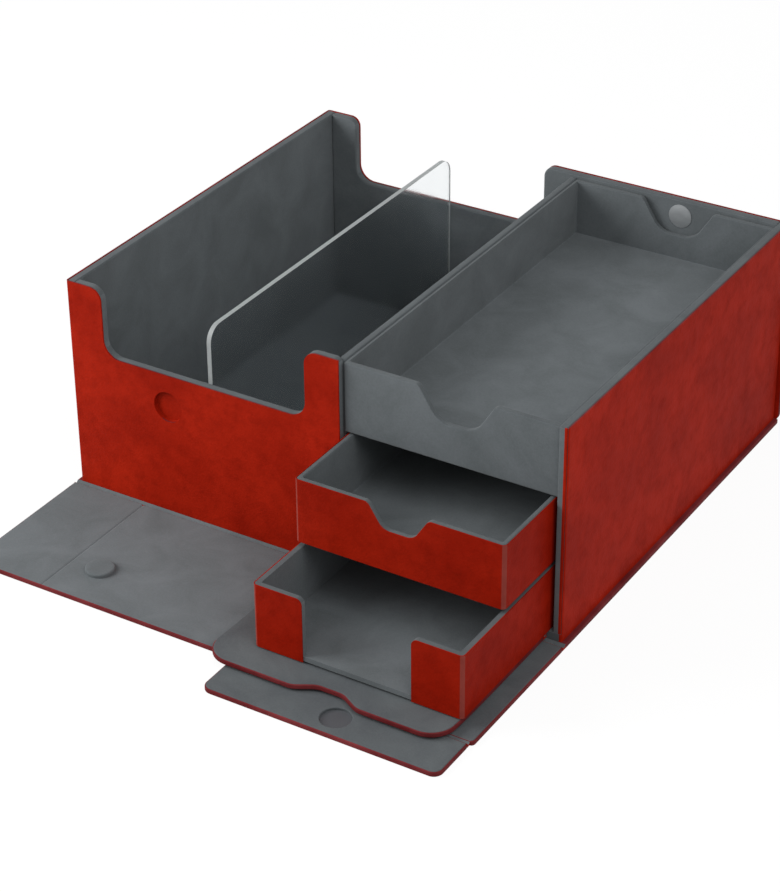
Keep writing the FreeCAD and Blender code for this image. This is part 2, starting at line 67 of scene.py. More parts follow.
# Places read from the frame
case_low, case_high = limits("case_skin")
LEFT, FRONT, CASE_Z = case_low
RIGHT, BACK, TOP = case_high
SKIN_T = limits("left_wall")[0].x - LEFT
INNER_LEFT = limits("left_wall_lining")[1].x
INNER_RIGHT = limits("right_wall_lining")[0].x
INNER_FRONT = limits("front_wall_lining")[1].y
INNER_BACK = limits("back_wall_lining")[0].y
FRONT_WALL_END = limits("front_wall_lining")[1].x
FLOOR_Z = limits("bay_floor_lining")[1].z
stud_low, stud_high = limits("back_stud")
CATCH_X = (stud_low.x + stud_high.x) / 2

# Window over the card bay
LEFT_POST_W = 19.5
RIGHT_POST_W = 17.8
POST_R = 6.5
BACK_POST_R = 5.0
POST_END_R = 3.0
SILL_H = 73.4
SILL_R = 8.5
WINDOW_LEFT = LEFT + LEFT_POST_W
WINDOW_RIGHT = FRONT_WALL_END - RIGHT_POST_W
SILL_Z = CASE_Z + SILL_H

# Thumb notches as (width at the edge, width at the base, depth, lip radius, base radius)
TRAY_NOTCH = (38.0, 18.0, 15.8, 2.5, 10.5)
DRAWER_NOTCH = (30.0, 15.0, 11.5, 3.0, 6.0)
DOOR_NOTCH = (32.0, 13.0, 5.5, 8.0, 8.0)
# Place of the depth in a notch's sizes
NOTCH_DEPTH = 2
DOOR_NOTCH_OFFSET = 2.2

# Walls of the case, with the soft edges that the leatherette and the lining give to the boards
CORNER_R = 1.4
WRAP_EDGE_R = 0.3
RIM_R = 0.9
# Red that the right wall keeps beside the drawer bay's mouth, and red that laps round its front end
WALL_EDGE_T = 0.45
WALL_END_RED = 2.0
RIGHT_WALL_GAP = 0.1

# Magnet recess and stud; the stud's dome rises in three shares of its height
RECESS_PLAY = 0.75
RECESS_DEPTH = 2.1
RECESS_SINK = 0.12
RECESS_HOLE_T = 2.0
RECESS_POCKET_T = 5.0
RECESS_POCKET_GAP = 0.7
DISH_T = 0.3
DISH_EDGE_R = 0.5
DISH_LIP_R = 0.1
STUD_RISES = (0.3, 0.2, 0.1)

# Panels of the cover
PANEL_CORNER_R = 5.0
RIGHT_FLAP_CORNER_R = 2.0
TONGUE_CORNER_R = 4.5
DOOR_CORNER_R = 12.0
DOOR_LIFT = 1.2
DOOR_STEPS = 8
PANEL_EDGE_R = 0.5
PANEL_RIM = 0.5
PANEL_RIM_DROP = 0.2
PANEL_LINING_T = 1.0
LINING_EDGE_R = 0.4
# Sides to which a panel's lining can run right out
ROOT = Vector((0, 1, 0))
LEFT_SIDE = Vector((-1, 0, 0))
RIGHT_SIDE = Vector((1, 0, 0))
# Left flap's crease and button, and the tongue's magnet
CREASE_X = 38.5
CREASE_HALF_W = 1.0
CREASE_DEPTH = 0.5
BUTTON_SLOPE_W = 2.5
BUTTON_DOME = 0.2
BUTTON_EDGE_R = 0.9
BUTTON_EDGE_REACH = 0.2
MAGNET_RIM_W = 1.0
MAGNET_DISH = 0.2

# Gutters between the panels; the cuts are shares of the width
GUTTER_EDGE_DROP = 0.1
GUTTER_SINK = 1.4
GUTTER_R = 0.6
GUTTER_CUTS = (0.2, 0.4, 0.6, 0.8)

# Drawers, tray and divider
DRAWER_CORNER_R = 2.2
DRAWER_LINING_T = 0.8
DRAWER_RIM_R = 0.6
WING_W = 25.0
WING_R = 3.0
TRAY_SIDE_T = 1.5
TRAY_RIM_R = 0.7
TRAY_CUT_REACH = 30.0
TRAY_CUT_RISE = 5.0
SHEET_T = 2.4
SHEET_FOOT_T = 1.2
SHEET_TOP_R = 8.0
SHEET_BEND_R = 1.1

# Roundings
FINE_EDGE_R = 0.2
FINE_SEGMENTS = 2
EDGE_SEGMENTS = 4
INNER_CORNER_SEGMENTS = 5
CORNER_SEGMENTS = 6
ARC_SEGMENTS = 10
DISC_SIDES = 64
SHARP_ANGLE = math.radians(35)
SMOOTH_ANGLE = math.radians(40)

# Shares of a direction by which edges and faces are told apart
ALONG = 0.9
FLAT = 0.95
EDGE_ON = 0.8
UPWARD = 0.5
TURNED = 0.35
FORWARD = 0.3
SIDEWAYS = 0.2


def up(z):
    """Places outline points on a level plane."""
    return lambda u, v: Vector((u, v, z))


def facing_front(y):
    """Places outline points on a plane that faces the front."""
    return lambda u, v: Vector((u, y, v))


def facing_side(x):
    """Places outline points on a plane that faces the side."""
    return lambda u, v: Vector((x, u, v))


# Modelling helpers
def fresh(name):
    """Names the primitive that was just added."""
    obj = bpy.context.active_object
    obj.name = name
    obj.data.name = name
    return obj


def activate(obj):
    """Leaves one object selected and active."""
    bpy.ops.object.select_all(action="DESELECT")
    obj.select_set(True)
    bpy.context.view_layer.objects.active = obj


def choose(obj, kind, test):
    """In edit mode, selects the vertices, edges or faces whose middle and direction pass a test."""
    bpy.ops.mesh.select_mode(type=kind)
    bpy.ops.mesh.select_all(action="DESELECT")
    mesh = bmesh.from_edit_mesh(obj.data)
    if kind == "VERT":
        for vertex in mesh.verts:
            vertex.select_set(test(vertex.co / MM, vertex.normal))
    elif kind == "EDGE":
        for edge in mesh.edges:
            start, end = edge.verts
            edge.select_set(test((start.co + end.co) / 2 / MM, (end.co - start.co).normalized()))
    else:
        for face in mesh.faces:
            face.select_set(test(face.calc_center_median() / MM, face.normal))
    mesh.select_flush_mode()
    bmesh.update_edit_mesh(obj.data)


def slice_all(point, direction):
    """In edit mode, cuts every face along a plane without parting it."""
    bpy.ops.mesh.select_all(action="SELECT")
    bpy.ops.mesh.bisect(plane_co=Vector(point) * MM, plane_no=direction)


def block(name, low, high):
    """Box between two corners."""
    bpy.ops.object.select_all(action="DESELECT")
    low, high = Vector(low), Vector(high)
    bpy.ops.mesh.primitive_cube_add(size=1, location=(low + high) / 2 * MM, scale=(high - low) * MM)
    bpy.ops.object.transform_apply(location=True, rotation=True, scale=True)
    return fresh(name)


def round_plate(name, radius, thickness, middle, turn=(0, 0, 0)):
    """Round disc about a middle, turned to its axis."""
    bpy.ops.object.select_all(action="DESELECT")
    bpy.ops.mesh.primitive_cylinder_add(vertices=DISC_SIDES, radius=radius * MM, depth=thickness * MM,
                                        location=Vector(middle) * MM, rotation=turn)
    bpy.ops.object.transform_apply(location=True, rotation=True, scale=True)
    return fresh(name)


def plate(name, corners, place, thickness, rim=0.0):
    """Plate cut to corners (u, v, radius), drawn in by a rim all round, then made thick."""
    bpy.ops.object.select_all(action="DESELECT")
    bpy.ops.mesh.primitive_circle_add(vertices=len(corners), fill_type="NGON")
    obj = fresh(name)
    points = [place(u, v) for u, v, radius in corners]
    for vertex, point in zip(obj.data.vertices, points):
        vertex.co = point * MM
    bpy.ops.object.mode_set(mode="EDIT")
    for i, point in enumerate(points):
        radius = corners[i][2]
        if radius > 0:
            before = points[i - 1] - point
            after = points[(i + 1) % len(points)] - point
            run = radius / math.tan(before.angle(after) / 2)
            choose(obj, "VERT", lambda middle, normal: (middle - point).length < NEAR)
            bpy.ops.mesh.bevel(offset=run * MM, segments=ARC_SEGMENTS, affect="VERTICES")
    bpy.ops.mesh.select_mode(type="FACE")
    bpy.ops.mesh.select_all(action="SELECT")
    if rim > 0:
        bpy.ops.mesh.inset(thickness=rim * MM)
        bpy.ops.mesh.select_all(action="INVERT")
        bpy.ops.mesh.delete(type="FACE")
        bpy.ops.mesh.select_all(action="SELECT")
    bpy.ops.mesh.extrude_region_move(TRANSFORM_OT_translate={"value": Vector(thickness) * MM})
    bpy.ops.mesh.select_all(action="SELECT")
    bpy.ops.mesh.normals_make_consistent(inside=False)
    bpy.ops.object.mode_set(mode="OBJECT")
    return obj


def notch(middle, edge, toward, sizes):
    """Corners of a thumb notch cut into an edge, in order of rising u."""
    width, base_width, depth, lip_r, base_r = sizes
    base = edge + toward * depth
    return [
        (middle - width / 2, edge, lip_r),
        (middle - base_width / 2, base, base_r),
        (middle + base_width / 2, base, base_r),
        (middle + width / 2, edge, lip_r),
    ]


def round_edges(obj, radius, segments, test):
    """Rounds the edges whose middle and direction pass a test."""
    activate(obj)
    bpy.ops.object.mode_set(mode="EDIT")
    choose(obj, "EDGE", test)
    bpy.ops.mesh.bevel(offset=radius * MM, segments=segments, affect="EDGES")
    bpy.ops.object.mode_set(mode="OBJECT")


def apply_modifier(obj, kind, **settings):
    """Adds a modifier with its settings and applies it."""
    activate(obj)
    modifier = obj.modifiers.new(kind.lower(), kind)
    for name, value in settings.items():
        setattr(modifier, name, value)
    bpy.ops.object.modifier_apply(modifier=modifier.name)


def soften(obj, radius, segments=3, edge_slot=-1):
    """Rounds every sharp edge; the rounding can take a material slot of its own."""
    apply_modifier(obj, "BEVEL", width=radius * MM, segments=segments, limit_method="ANGLE",
                   angle_limit=SHARP_ANGLE, material=edge_slot)


def cut(obj, cutter):
    """Takes the cutter's shape out of an object."""
    apply_modifier(obj, "BOOLEAN", object=cutter, operation="DIFFERENCE", solver="EXACT")
    bpy.data.objects.remove(cutter)


def duplicate(obj, name):
    """Copy with a mesh of its own."""
    activate(obj)
    bpy.ops.object.duplicate()
    return fresh(name)


def paint(obj, slot, test):
    """Gives the faces whose middle and normal pass a test a material slot."""
    for face in obj.data.polygons:
        if test(face.center / MM, face.normal):
            face.material_index = slot


def dress(obj, body, nodes, slot, *materials):
    """Welds and smooths a finished piece, gives it its materials and joins it to its body."""
    for material in materials:
        obj.data.materials.append(material)
    activate(obj)
    bpy.ops.object.mode_set(mode="EDIT")
    bpy.ops.mesh.select_all(action="SELECT")
    bpy.ops.mesh.remove_doubles(threshold=WELD_GAP * MM)
    bpy.ops.mesh.dissolve_degenerate(threshold=WELD_GAP * MM)
    bpy.ops.object.mode_set(mode="OBJECT")
    bpy.ops.object.shade_smooth_by_angle(angle=SMOOTH_ANGLE)
    apply_modifier(obj, "WEIGHTED_NORMAL", keep_sharp=True)
    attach(obj, body)
    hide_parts(*nodes)


# Materials
def colour(code):
    """Linear colour of an sRGB hex value."""
    channels = [int(code[i:i + 2], 16) / 255 for i in (1, 3, 5)]
    return [c / 12.92 if c <= 0.04045 else ((c + 0.055) / 1.055) ** 2.4 for c in channels] + [1.0]


def add(tree, kind, inputs=None, **settings):
    """Adds a node; an input takes a value or the output that it is linked to."""
    made = tree.nodes.new(kind)
    for name, value in settings.items():
        setattr(made, name, value)
    for key, value in (inputs or {}).items():
        if isinstance(value, bpy.types.NodeSocket):
            tree.links.new(value, made.inputs[key])
        else:
            made.inputs[key].default_value = value
    return made


def new_material(name):
    """Empty material, with its tree, shader and Object coordinates."""
    material = bpy.data.materials.new(name)
    material.use_nodes = True
    tree = material.node_tree
    shader = tree.nodes["Principled BSDF"]
    place = add(tree, "ShaderNodeTexCoord").outputs["Object"]
    return material, tree, shader, place


def per_mm(size):
    """Texture scale at which one cell of a pattern is a size in millimetres."""
    return 1 / (size * MM)


# Sockets of a colour mix node by number, since its other kinds share their names
SHARE, FIRST, SECOND = 0, 6, 7
MIXED = 2


def leatherette(name, dark, light, stain):
    """Polyurethane leatherette on board: satin, clouded by its two-tone dye, with a fine pebble grain."""
    material, tree, shader, place = new_material(name)
    cloud = add(tree, "ShaderNodeTexNoise",
                {"Vector": place, "Scale": per_mm(42), "Detail": 4, "Roughness": 0.6})
    mottle = add(tree, "ShaderNodeTexNoise",
                 {"Vector": place, "Scale": per_mm(7), "Detail": 5, "Roughness": 0.65})
    # The real grain is about 0.5 mm; it is drawn at 1.1 mm so that it shows
    grain = add(tree, "ShaderNodeTexVoronoi", {"Vector": place, "Scale": per_mm(1.1)}, feature="SMOOTH_F1")
    cloud_share = add(tree, "ShaderNodeMapRange",
                      {"Value": cloud.outputs["Fac"], "From Min": 0.36, "From Max": 0.64})
    stain_share = add(tree, "ShaderNodeMapRange",
                      {"Value": mottle.outputs["Fac"], "From Min": 0.45, "From Max": 0.75, "To Max": 0.5})
    dye = add(tree, "ShaderNodeMix",
              {SHARE: cloud_share.outputs[0], FIRST: colour(dark), SECOND: colour(light)}, data_type="RGBA")
    stained = add(tree, "ShaderNodeMix",
                  {SHARE: stain_share.outputs[0], FIRST: dye.outputs[MIXED], SECOND: colour(stain)},
                  data_type="RGBA")
    satin = add(tree, "ShaderNodeMapRange", {"Value": mottle.outputs["Fac"], "To Min": 0.46, "To Max": 0.66})
    bump = add(tree, "ShaderNodeBump",
               {"Height": grain.outputs["Distance"], "Strength": 0.35, "Distance": 0.25 * MM})
    soft = add(tree, "ShaderNodeBump", {"Height": mottle.outputs["Fac"], "Normal": bump.outputs["Normal"],
                                        "Strength": 0.25, "Distance": 0.6 * MM})
    tree.links.new(stained.outputs[MIXED], shader.inputs["Base Color"])
    tree.links.new(satin.outputs[0], shader.inputs["Roughness"])
    tree.links.new(soft.outputs["Normal"], shader.inputs["Normal"])
    shader.inputs["IOR"].default_value = 1.5
    shader.inputs["Specular IOR Level"].default_value = 0.03
    return material


def microfibre(name, dark, light):
    """Brushed microfibre: matt, with a short nap that lies lighter and darker in patches."""
    material, tree, shader, place = new_material(name)
    stroke = add(tree, "ShaderNodeTexNoise", {"Vector": place, "Scale": per_mm(26), "Detail": 5,
                                              "Roughness": 0.6, "Distortion": 0.6})
    # The fibres are finer than a tenth of a millimetre; the nap is drawn at 0.9 mm so that it shows
    nap = add(tree, "ShaderNodeTexNoise",
              {"Vector": place, "Scale": per_mm(0.9), "Detail": 4, "Roughness": 0.7})
    patch = add(tree, "ShaderNodeMapRange",
                {"Value": stroke.outputs["Fac"], "From Min": 0.3, "From Max": 0.7})
    speck = add(tree, "ShaderNodeMapRange", {"Value": nap.outputs["Fac"], "From Min": 0.3, "From Max": 0.7,
                                             "To Min": -0.25, "To Max": 0.25})
    share = add(tree, "ShaderNodeMath", {0: patch.outputs[0], 1: speck.outputs[0]}, operation="ADD",
                use_clamp=True)
    tone = add(tree, "ShaderNodeMix",
               {SHARE: share.outputs[0], FIRST: colour(dark), SECOND: colour(light)}, data_type="RGBA")
    bump = add(tree, "ShaderNodeBump", {"Height": nap.outputs["Fac"], "Strength": 0.3, "Distance": 0.3 * MM})
    tree.links.new(tone.outputs[MIXED], shader.inputs["Base Color"])
    tree.links.new(bump.outputs["Normal"], shader.inputs["Normal"])
    shader.inputs["Roughness"].default_value = 0.95
    shader.inputs["Specular IOR Level"].default_value = 0.1
    shader.inputs["Sheen Weight"].default_value = 0.1
    shader.inputs["Sheen Roughness"].default_value = 0.5
    return material


def clear_sheet(name):
    """Extruded clear plastic: glassy, faintly scuffed, pale at its cut edges."""
    material, tree, shader, place = new_material(name)
    scuff = add(tree, "ShaderNodeTexNoise",
                {"Vector": place, "Scale": per_mm(14), "Detail": 6, "Roughness": 0.7})
    haze = add(tree, "ShaderNodeMapRange", {"Value": scuff.outputs["Fac"], "To Min": 0.03, "To Max": 0.16})
    tree.links.new(haze.outputs[0], shader.inputs["Roughness"])
    shader.inputs["Base Color"].default_value = colour("#F3F6F7")
    shader.inputs["IOR"].default_value = 1.49
    shader.inputs["Transmission Weight"].default_value = 1.0
    return material


def cut_edge(name):
    """Saw-cut edge of clear plastic: frosted, and pale with the light that it gathers from the sheet."""
    material, tree, shader, place = new_material(name)
    saw = add(tree, "ShaderNodeTexNoise", {"Vector": place, "Scale": per_mm(1.5), "Detail": 4})
    tone = add(tree, "ShaderNodeMix",
               {SHARE: saw.outputs["Fac"], FIRST: colour("#A3A8A8"), SECOND: colour("#BEC3C3")},
               data_type="RGBA")
    tree.links.new(tone.outputs[MIXED], shader.inputs["Base Color"])
    shader.inputs["Roughness"].default_value = 0.55
    shader.inputs["IOR"].default_value = 1.49
    shader.inputs["Transmission Weight"].default_value = 0.45
    return material


def plated_steel(name, tone, smooth, rough):
    """Nickel-plated steel: satin, with the fine scratches of handling."""
    material, tree, shader, place = new_material(name)
    scratch = add(tree, "ShaderNodeTexNoise",
                  {"Vector": place, "Scale": per_mm(2.5), "Detail": 6, "Roughness": 0.75})
    worn = add(tree, "ShaderNodeMapRange",
               {"Value": scratch.outputs["Fac"], "To Min": smooth, "To Max": rough})
    tree.links.new(worn.outputs[0], shader.inputs["Roughness"])
    shader.inputs["Base Color"].default_value = colour(tone)
    shader.inputs["Metallic"].default_value = 1.0
    return material


def grey_board(name):
    """Pressed grey board: matt recycled fibre with pale and dark flecks."""
    material, tree, shader, place = new_material(name)
    fleck = add(tree, "ShaderNodeTexNoise", {"Vector": place, "Scale": per_mm(1.5), "Detail": 5})
    tone = add(tree, "ShaderNodeMix",
               {SHARE: fleck.outputs["Fac"], FIRST: colour("#5E5A54"), SECOND: colour("#8A857C")},
               data_type="RGBA")
    tree.links.new(tone.outputs[MIXED], shader.inputs["Base Color"])
    shader.inputs["Roughness"].default_value = 0.9
    return material


red = leatherette("red_leatherette", "#891707", "#A0200D", "#700F03")
# Darker copy of the red for the drawers: painted shade, as they stand lower and further right
shaded_drawer_red = leatherette("red_leatherette_painted_shade", "#801304", "#911B09", "#690D02")
edge_red = leatherette("red_leatherette_turned_edge", "#5E1F21", "#743032", "#4A1417")
# Pale red for the drawers' front corners: painted highlight, with some rubbed wear
highlit_worn_red = leatherette("red_leatherette_corner_highlight_and_wear", "#7E352E", "#8F423A", "#6C2822")
grey = microfibre("grey_microfibre", "#555A5C", "#63686B")
# Darker copy of the grey microfibre: painted shade, for rims, hollows and the panels right of the left flap
shaded_grey = microfibre("grey_microfibre_painted_shade", "#494D50", "#565B5D")
clear = clear_sheet("clear_extruded_sheet")
sawn = cut_edge("clear_sheet_sawn_edge")
steel = plated_steel("nickel_plated_steel", "#B8BBBD", 0.4, 0.6)
# Darker steel for the tongue's magnet: painted shade of the dish it sits in
shaded_steel = plated_steel("dark_steel_painted_shade", "#63666A", 0.5, 0.7)
board = grey_board("pressed_grey_board")


def dress_lined(obj, body, nodes, dip=0.0):
    """Dresses a lined board; its rim, which dips by so much, takes the darker grey as painted shade."""
    top = max(vertex.co.z for vertex in obj.data.vertices) / MM
    # Painted shade: the up-facing rim faces take the darker grey
    paint(obj, 1, lambda middle, normal: normal.z > UPWARD and middle.z > top - dip - RIM_R)
    dress(obj, body, nodes, "grey_lining", grey, shaded_grey)


# Case
def window_cutter(y0, y1, post_r):
    """Shape of the window over the card bay, from one depth to another."""
    reach = post_r + OVERSHOOT
    above = TOP + OVERSHOOT
    corners = [
        (WINDOW_LEFT - reach, above, 0),
        (WINDOW_LEFT - reach, TOP, 0),
        (WINDOW_LEFT, TOP, post_r),
        (WINDOW_LEFT, SILL_Z, SILL_R),
        (WINDOW_RIGHT, SILL_Z, SILL_R),
        (WINDOW_RIGHT, TOP, post_r),
        (WINDOW_RIGHT + reach, TOP, 0),
        (WINDOW_RIGHT + reach, above, 0),
    ]
    return plate("window_cutter", corners, facing_front(y0), (0, y1 - y0, 0))


button_low, button_high = limits("left_flap_button")
BUTTON_D = button_high.x - button_low.x
RECESS_R = BUTTON_D / 2 + RECESS_PLAY
wall_magnet_low, wall_magnet_high = limits("wall_magnet")
RECESS_MIDDLE = (wall_magnet_low + wall_magnet_high) / 2
RECESS_MIDDLE.y = FRONT
QUARTER_TURN = (math.radians(90), 0, 0)


def make_case_wrap():
    """Red leatherette round the four walls, with the window and the mouth of the drawer bay."""
    wrap = block("case_wrap", case_low, case_high)
    round_edges(wrap, CORNER_R, CORNER_SEGMENTS, lambda middle, along: abs(along.z) > ALONG)
    bpy.ops.object.mode_set(mode="EDIT")
    choose(wrap, "FACE", lambda middle, normal: abs(normal.z) > ALONG)
    bpy.ops.mesh.delete(type="FACE")
    bpy.ops.object.mode_set(mode="OBJECT")
    apply_modifier(wrap, "SOLIDIFY", thickness=SKIN_T * MM, offset=-1.0, use_even_offset=True)
    bpy.ops.object.mode_set(mode="EDIT")
    slice_all((FRONT_WALL_END, 0, 0), (1, 0, 0))
    bpy.ops.object.mode_set(mode="OBJECT")
    cut(wrap, window_cutter(FRONT - OVERSHOOT, 0, POST_R))
    cut(wrap, window_cutter(0, BACK + OVERSHOOT, BACK_POST_R))
    cut(wrap, block("bay_mouth", (FRONT_WALL_END, FRONT - OVERSHOOT, FLOOR_Z),
                    (RIGHT - WALL_EDGE_T, FRONT + CORNER_R, TOP + OVERSHOOT)))
    cut(wrap, round_plate("recess_hole", RECESS_R, RECESS_HOLE_T, RECESS_MIDDLE, QUARTER_TURN))
    soften(wrap, WRAP_EDGE_R, edge_slot=1)
    paint(wrap, 1, lambda middle, normal: normal.z > ALONG)
    # The lip under the drawer bay is covered by the end of the door's lining, and takes the darker grey:
    # painted shade under the drawers
    paint(wrap, 2, lambda middle, normal: FRONT_WALL_END < middle.x < RIGHT - CORNER_R
          and middle.y < FRONT + SKIN_T + NEAR and middle.z < FLOOR_Z + NEAR)
    dress(wrap, "case", ["case_skin"], "red_leatherette", red, edge_red, shaded_grey)


def make_recess():
    """Round dish that the flap's button enters, pressed into the front wall."""
    depth = RECESS_DEPTH + DISH_T - RECESS_SINK
    dish = round_plate("magnet_recess", RECESS_R + DISH_T, depth,
                       RECESS_MIDDLE + Vector((0, RECESS_SINK + depth / 2, 0)), QUARTER_TURN)
    bpy.ops.object.mode_set(mode="EDIT")
    choose(dish, "FACE", lambda middle, normal: normal.y < -ALONG)
    bpy.ops.mesh.delete(type="FACE")
    bpy.ops.object.mode_set(mode="OBJECT")
    round_edges(dish, DISH_EDGE_R, EDGE_SEGMENTS, lambda middle, along: middle.y > FRONT + RECESS_DEPTH)
    apply_modifier(dish, "SOLIDIFY", thickness=DISH_T * MM, offset=-1.0)
    soften(dish, DISH_LIP_R, FINE_SEGMENTS)
    dress(dish, "case", ["wall_magnet"], "red_leatherette", red)


def make_side_wall(name, x0, x1, y0, outer_x, nodes):
    """Side wall's board in its grey lining, folded over the top; red laps round the right wall's end."""
    wall = block(name, (x0, y0, CASE_Z), (x1, BACK - SKIN_T, TOP))
    round_edges(wall, CORNER_R - SKIN_T, INNER_CORNER_SEGMENTS,
                lambda middle, along: abs(along.z) > ALONG and abs(middle.x - outer_x) < NEAR)
    soften(wall, RIM_R)
    activate(wall)
    bpy.ops.object.mode_set(mode="EDIT")
    slice_all((RIGHT - WALL_END_RED, 0, 0), (1, 0, 0))
    bpy.ops.object.mode_set(mode="OBJECT")
    dress_lined(wall, "case", nodes)
    wall.data.materials.append(red)
    paint(wall, 2, lambda middle, normal: middle.x > RIGHT - WALL_END_RED and normal.y < -FORWARD)


def make_windowed_wall(name, x0, x1, end_r, post_r, y0, y1, nodes):
    """Front or back wall's board in its grey lining, with the window."""
    corners = [
        (x0, CASE_Z, 0),
        (x1, CASE_Z, 0),
        (x1, TOP, end_r),
        (WINDOW_RIGHT, TOP, post_r),
        (WINDOW_RIGHT, SILL_Z, SILL_R),
        (WINDOW_LEFT, SILL_Z, SILL_R),
        (WINDOW_LEFT, TOP, post_r),
        (x0, TOP, 0),
    ]
    wall = plate(name, corners, facing_front(y0), (0, y1 - y0, 0))
    if y0 < 0:
        cut(wall, round_plate("recess_pocket", RECESS_R + RECESS_POCKET_GAP, RECESS_POCKET_T, RECESS_MIDDLE,
                              QUARTER_TURN))
    soften(wall, RIM_R)
    dress_lined(wall, "case", nodes, TOP - SILL_Z)


def make_partition():
    """Partition between the bays, its lining folded over the top."""
    low, high = limits("partition_lining")
    wall = block("partition_lined", low, high)
    soften(wall, RIM_R)
    dress_lined(wall, "case", ["partition_wall", "partition_lining"])


def make_stud():
    """Plain domed stud on the back wall."""
    middle = (stud_low + stud_high) / 2
    radius = (stud_high.x - stud_low.x) / 2
    height = stud_high.y - stud_low.y
    stud = round_plate("back_stud_disc", radius, height, middle, QUARTER_TURN)
    bpy.ops.object.mode_set(mode="EDIT")
    choose(stud, "FACE", lambda middle, normal: normal.y < -ALONG)
    bpy.ops.transform.translate(value=(0, sum(STUD_RISES) * height * MM, 0))
    for rise in STUD_RISES:
        bpy.ops.mesh.inset(thickness=radius / (len(STUD_RISES) + 1) * MM)
        bpy.ops.transform.translate(value=(0, -rise * height * MM, 0))
    bpy.ops.object.mode_set(mode="OBJECT")
    dress(stud, "case", ["back_stud"], "steel", steel)


# Cover panels
def make_panel(name, corners, z0, z1, *open_sides):
    """Covered board with its grey lining let in; the lining runs right out to the open sides."""
    cover = plate(name + "_wrap", corners, up(z0), (0, 0, z1 - PANEL_RIM_DROP - z0))
    soften(cover, PANEL_EDGE_R)
    lining = plate(name + "_lined", corners, up(z1 - PANEL_LINING_T), (0, 0, PANEL_LINING_T), PANEL_RIM)
    activate(lining)
    bpy.ops.object.mode_set(mode="EDIT")
    for side in open_sides:
        reach = max(side.dot(Vector((u, v, 0))) for u, v, radius in corners)
        choose(lining, "VERT", lambda middle, normal: middle.dot(side) > reach - PANEL_RIM - NEAR)
        bpy.ops.transform.translate(value=side * PANEL_RIM * MM)
    bpy.ops.object.mode_set(mode="OBJECT")
    cut(cover, duplicate(lining, "pocket"))
    return cover, lining


def finish_panel(name, cover, lining, body, material):
    """Rounds a panel's lining and joins the panel to its body."""
    paint(cover, 1, lambda middle, normal: normal.z > -FLAT)
    dress(cover, body, [name + "_cover", name + "_core"], "red_leatherette", red, edge_red)
    soften(lining, LINING_EDGE_R)
    dress(lining, body, [name + "_lining"], "grey_lining", material)


def make_gutter(name, node, top, bodies, lap=0.0, start_x=None):
    """Soft strip between two panels: leatherette below, sunk lining on top; it can lap a rim."""
    low, high = limits(node)
    if start_x is not None:
        low.x = start_x
    middle = (low.y + high.y) / 2
    corners = [
        (low.y, low.z, 0),
        (high.y + lap, low.z, 0),
        (high.y + lap, top - GUTTER_EDGE_DROP, 0),
        (middle, top - GUTTER_SINK, GUTTER_R),
        (low.y, top - GUTTER_EDGE_DROP, 0),
    ]
    strip = plate(name, corners, facing_side(low.x), (high.x - low.x, 0, 0))
    activate(strip)
    bpy.ops.object.mode_set(mode="EDIT")
    for share in GUTTER_CUTS:
        slice_all((0, low.y + share * (high.y - low.y), 0), (0, 1, 0))
    bpy.ops.object.mode_set(mode="OBJECT")
    paint(strip, 1, lambda middle, normal: normal.z < SIDEWAYS)
    for material in (grey, red):
        strip.data.materials.append(material)
    bpy.ops.object.shade_smooth_by_angle(angle=SMOOTH_ANGLE)
    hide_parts(node)
    if len(bodies) == 1:
        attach(strip, bodies[0])
    else:
        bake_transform(strip)


def make_base():
    """Base panel under the case and the rear panel against its back."""
    low, high = limits("base_cover")
    corners = [(low.x, low.y, 0), (high.x, low.y, 0), (high.x, high.y, 0), (low.x, high.y, 0)]
    base = plate("base_panel", corners, up(low.z), (0, 0, high.z - low.z))
    soften(base, PANEL_EDGE_R)
    paint(base, 1, lambda middle, normal: normal.z > -FLAT)
    dress(base, "case", ["base_cover", "base_core"], "red_leatherette", red, edge_red)
    low, high = limits("rear_cover")
    corners = [
        (low.x, low.z, PANEL_CORNER_R),
        (high.x, low.z, PANEL_CORNER_R),
        (high.x, high.z, PANEL_CORNER_R),
        (low.x, high.z, PANEL_CORNER_R),
    ]
    rear = plate("rear_panel", corners, facing_front(low.y), (0, high.y - low.y, 0))
    soften(rear, PANEL_EDGE_R)
    paint(rear, 1, lambda middle, normal: abs(normal.y) < FLAT)
    dress(rear, "case", ["rear_cover", "rear_core"], "red_leatherette", red, edge_red)


